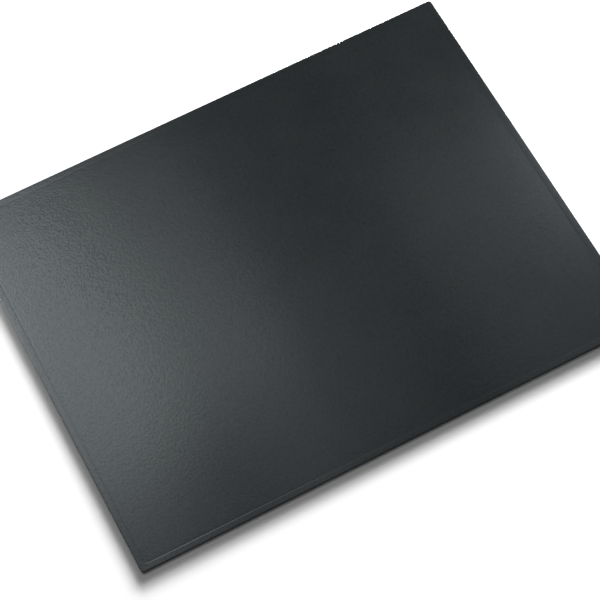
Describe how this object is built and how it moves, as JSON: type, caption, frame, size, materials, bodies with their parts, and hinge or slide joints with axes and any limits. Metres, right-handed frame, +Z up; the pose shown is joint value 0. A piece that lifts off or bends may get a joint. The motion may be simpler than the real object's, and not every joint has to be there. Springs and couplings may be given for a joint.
{
  "type": "desk mat",
  "caption": "Thin rectangular padded desk mat with a grained writing surface, a pressed border line just inside its raised rim, rolled edges, small rounded corners and a non-slip underside.",
  "frame": {"origin": "middle of the underside, on the desk", "axes": "+X along the long side, +Y from the user towards the back of the desk, +Z up out of the writing surface"},
  "size_m": [0.65, 0.52, 0.003],
  "materials": {
    "cover_film": "satin",
    "foam": "matte",
    "fleece": "matte",
    "base_sheet": "matte"
  },
  "bodies": {
    "root": {"grained_cover_film": "cover_film", "foam_core": "foam", "stabilising_fleece": "fleece", "non_slip_base_sheet": "base_sheet"}
  },
  "joints": []
}
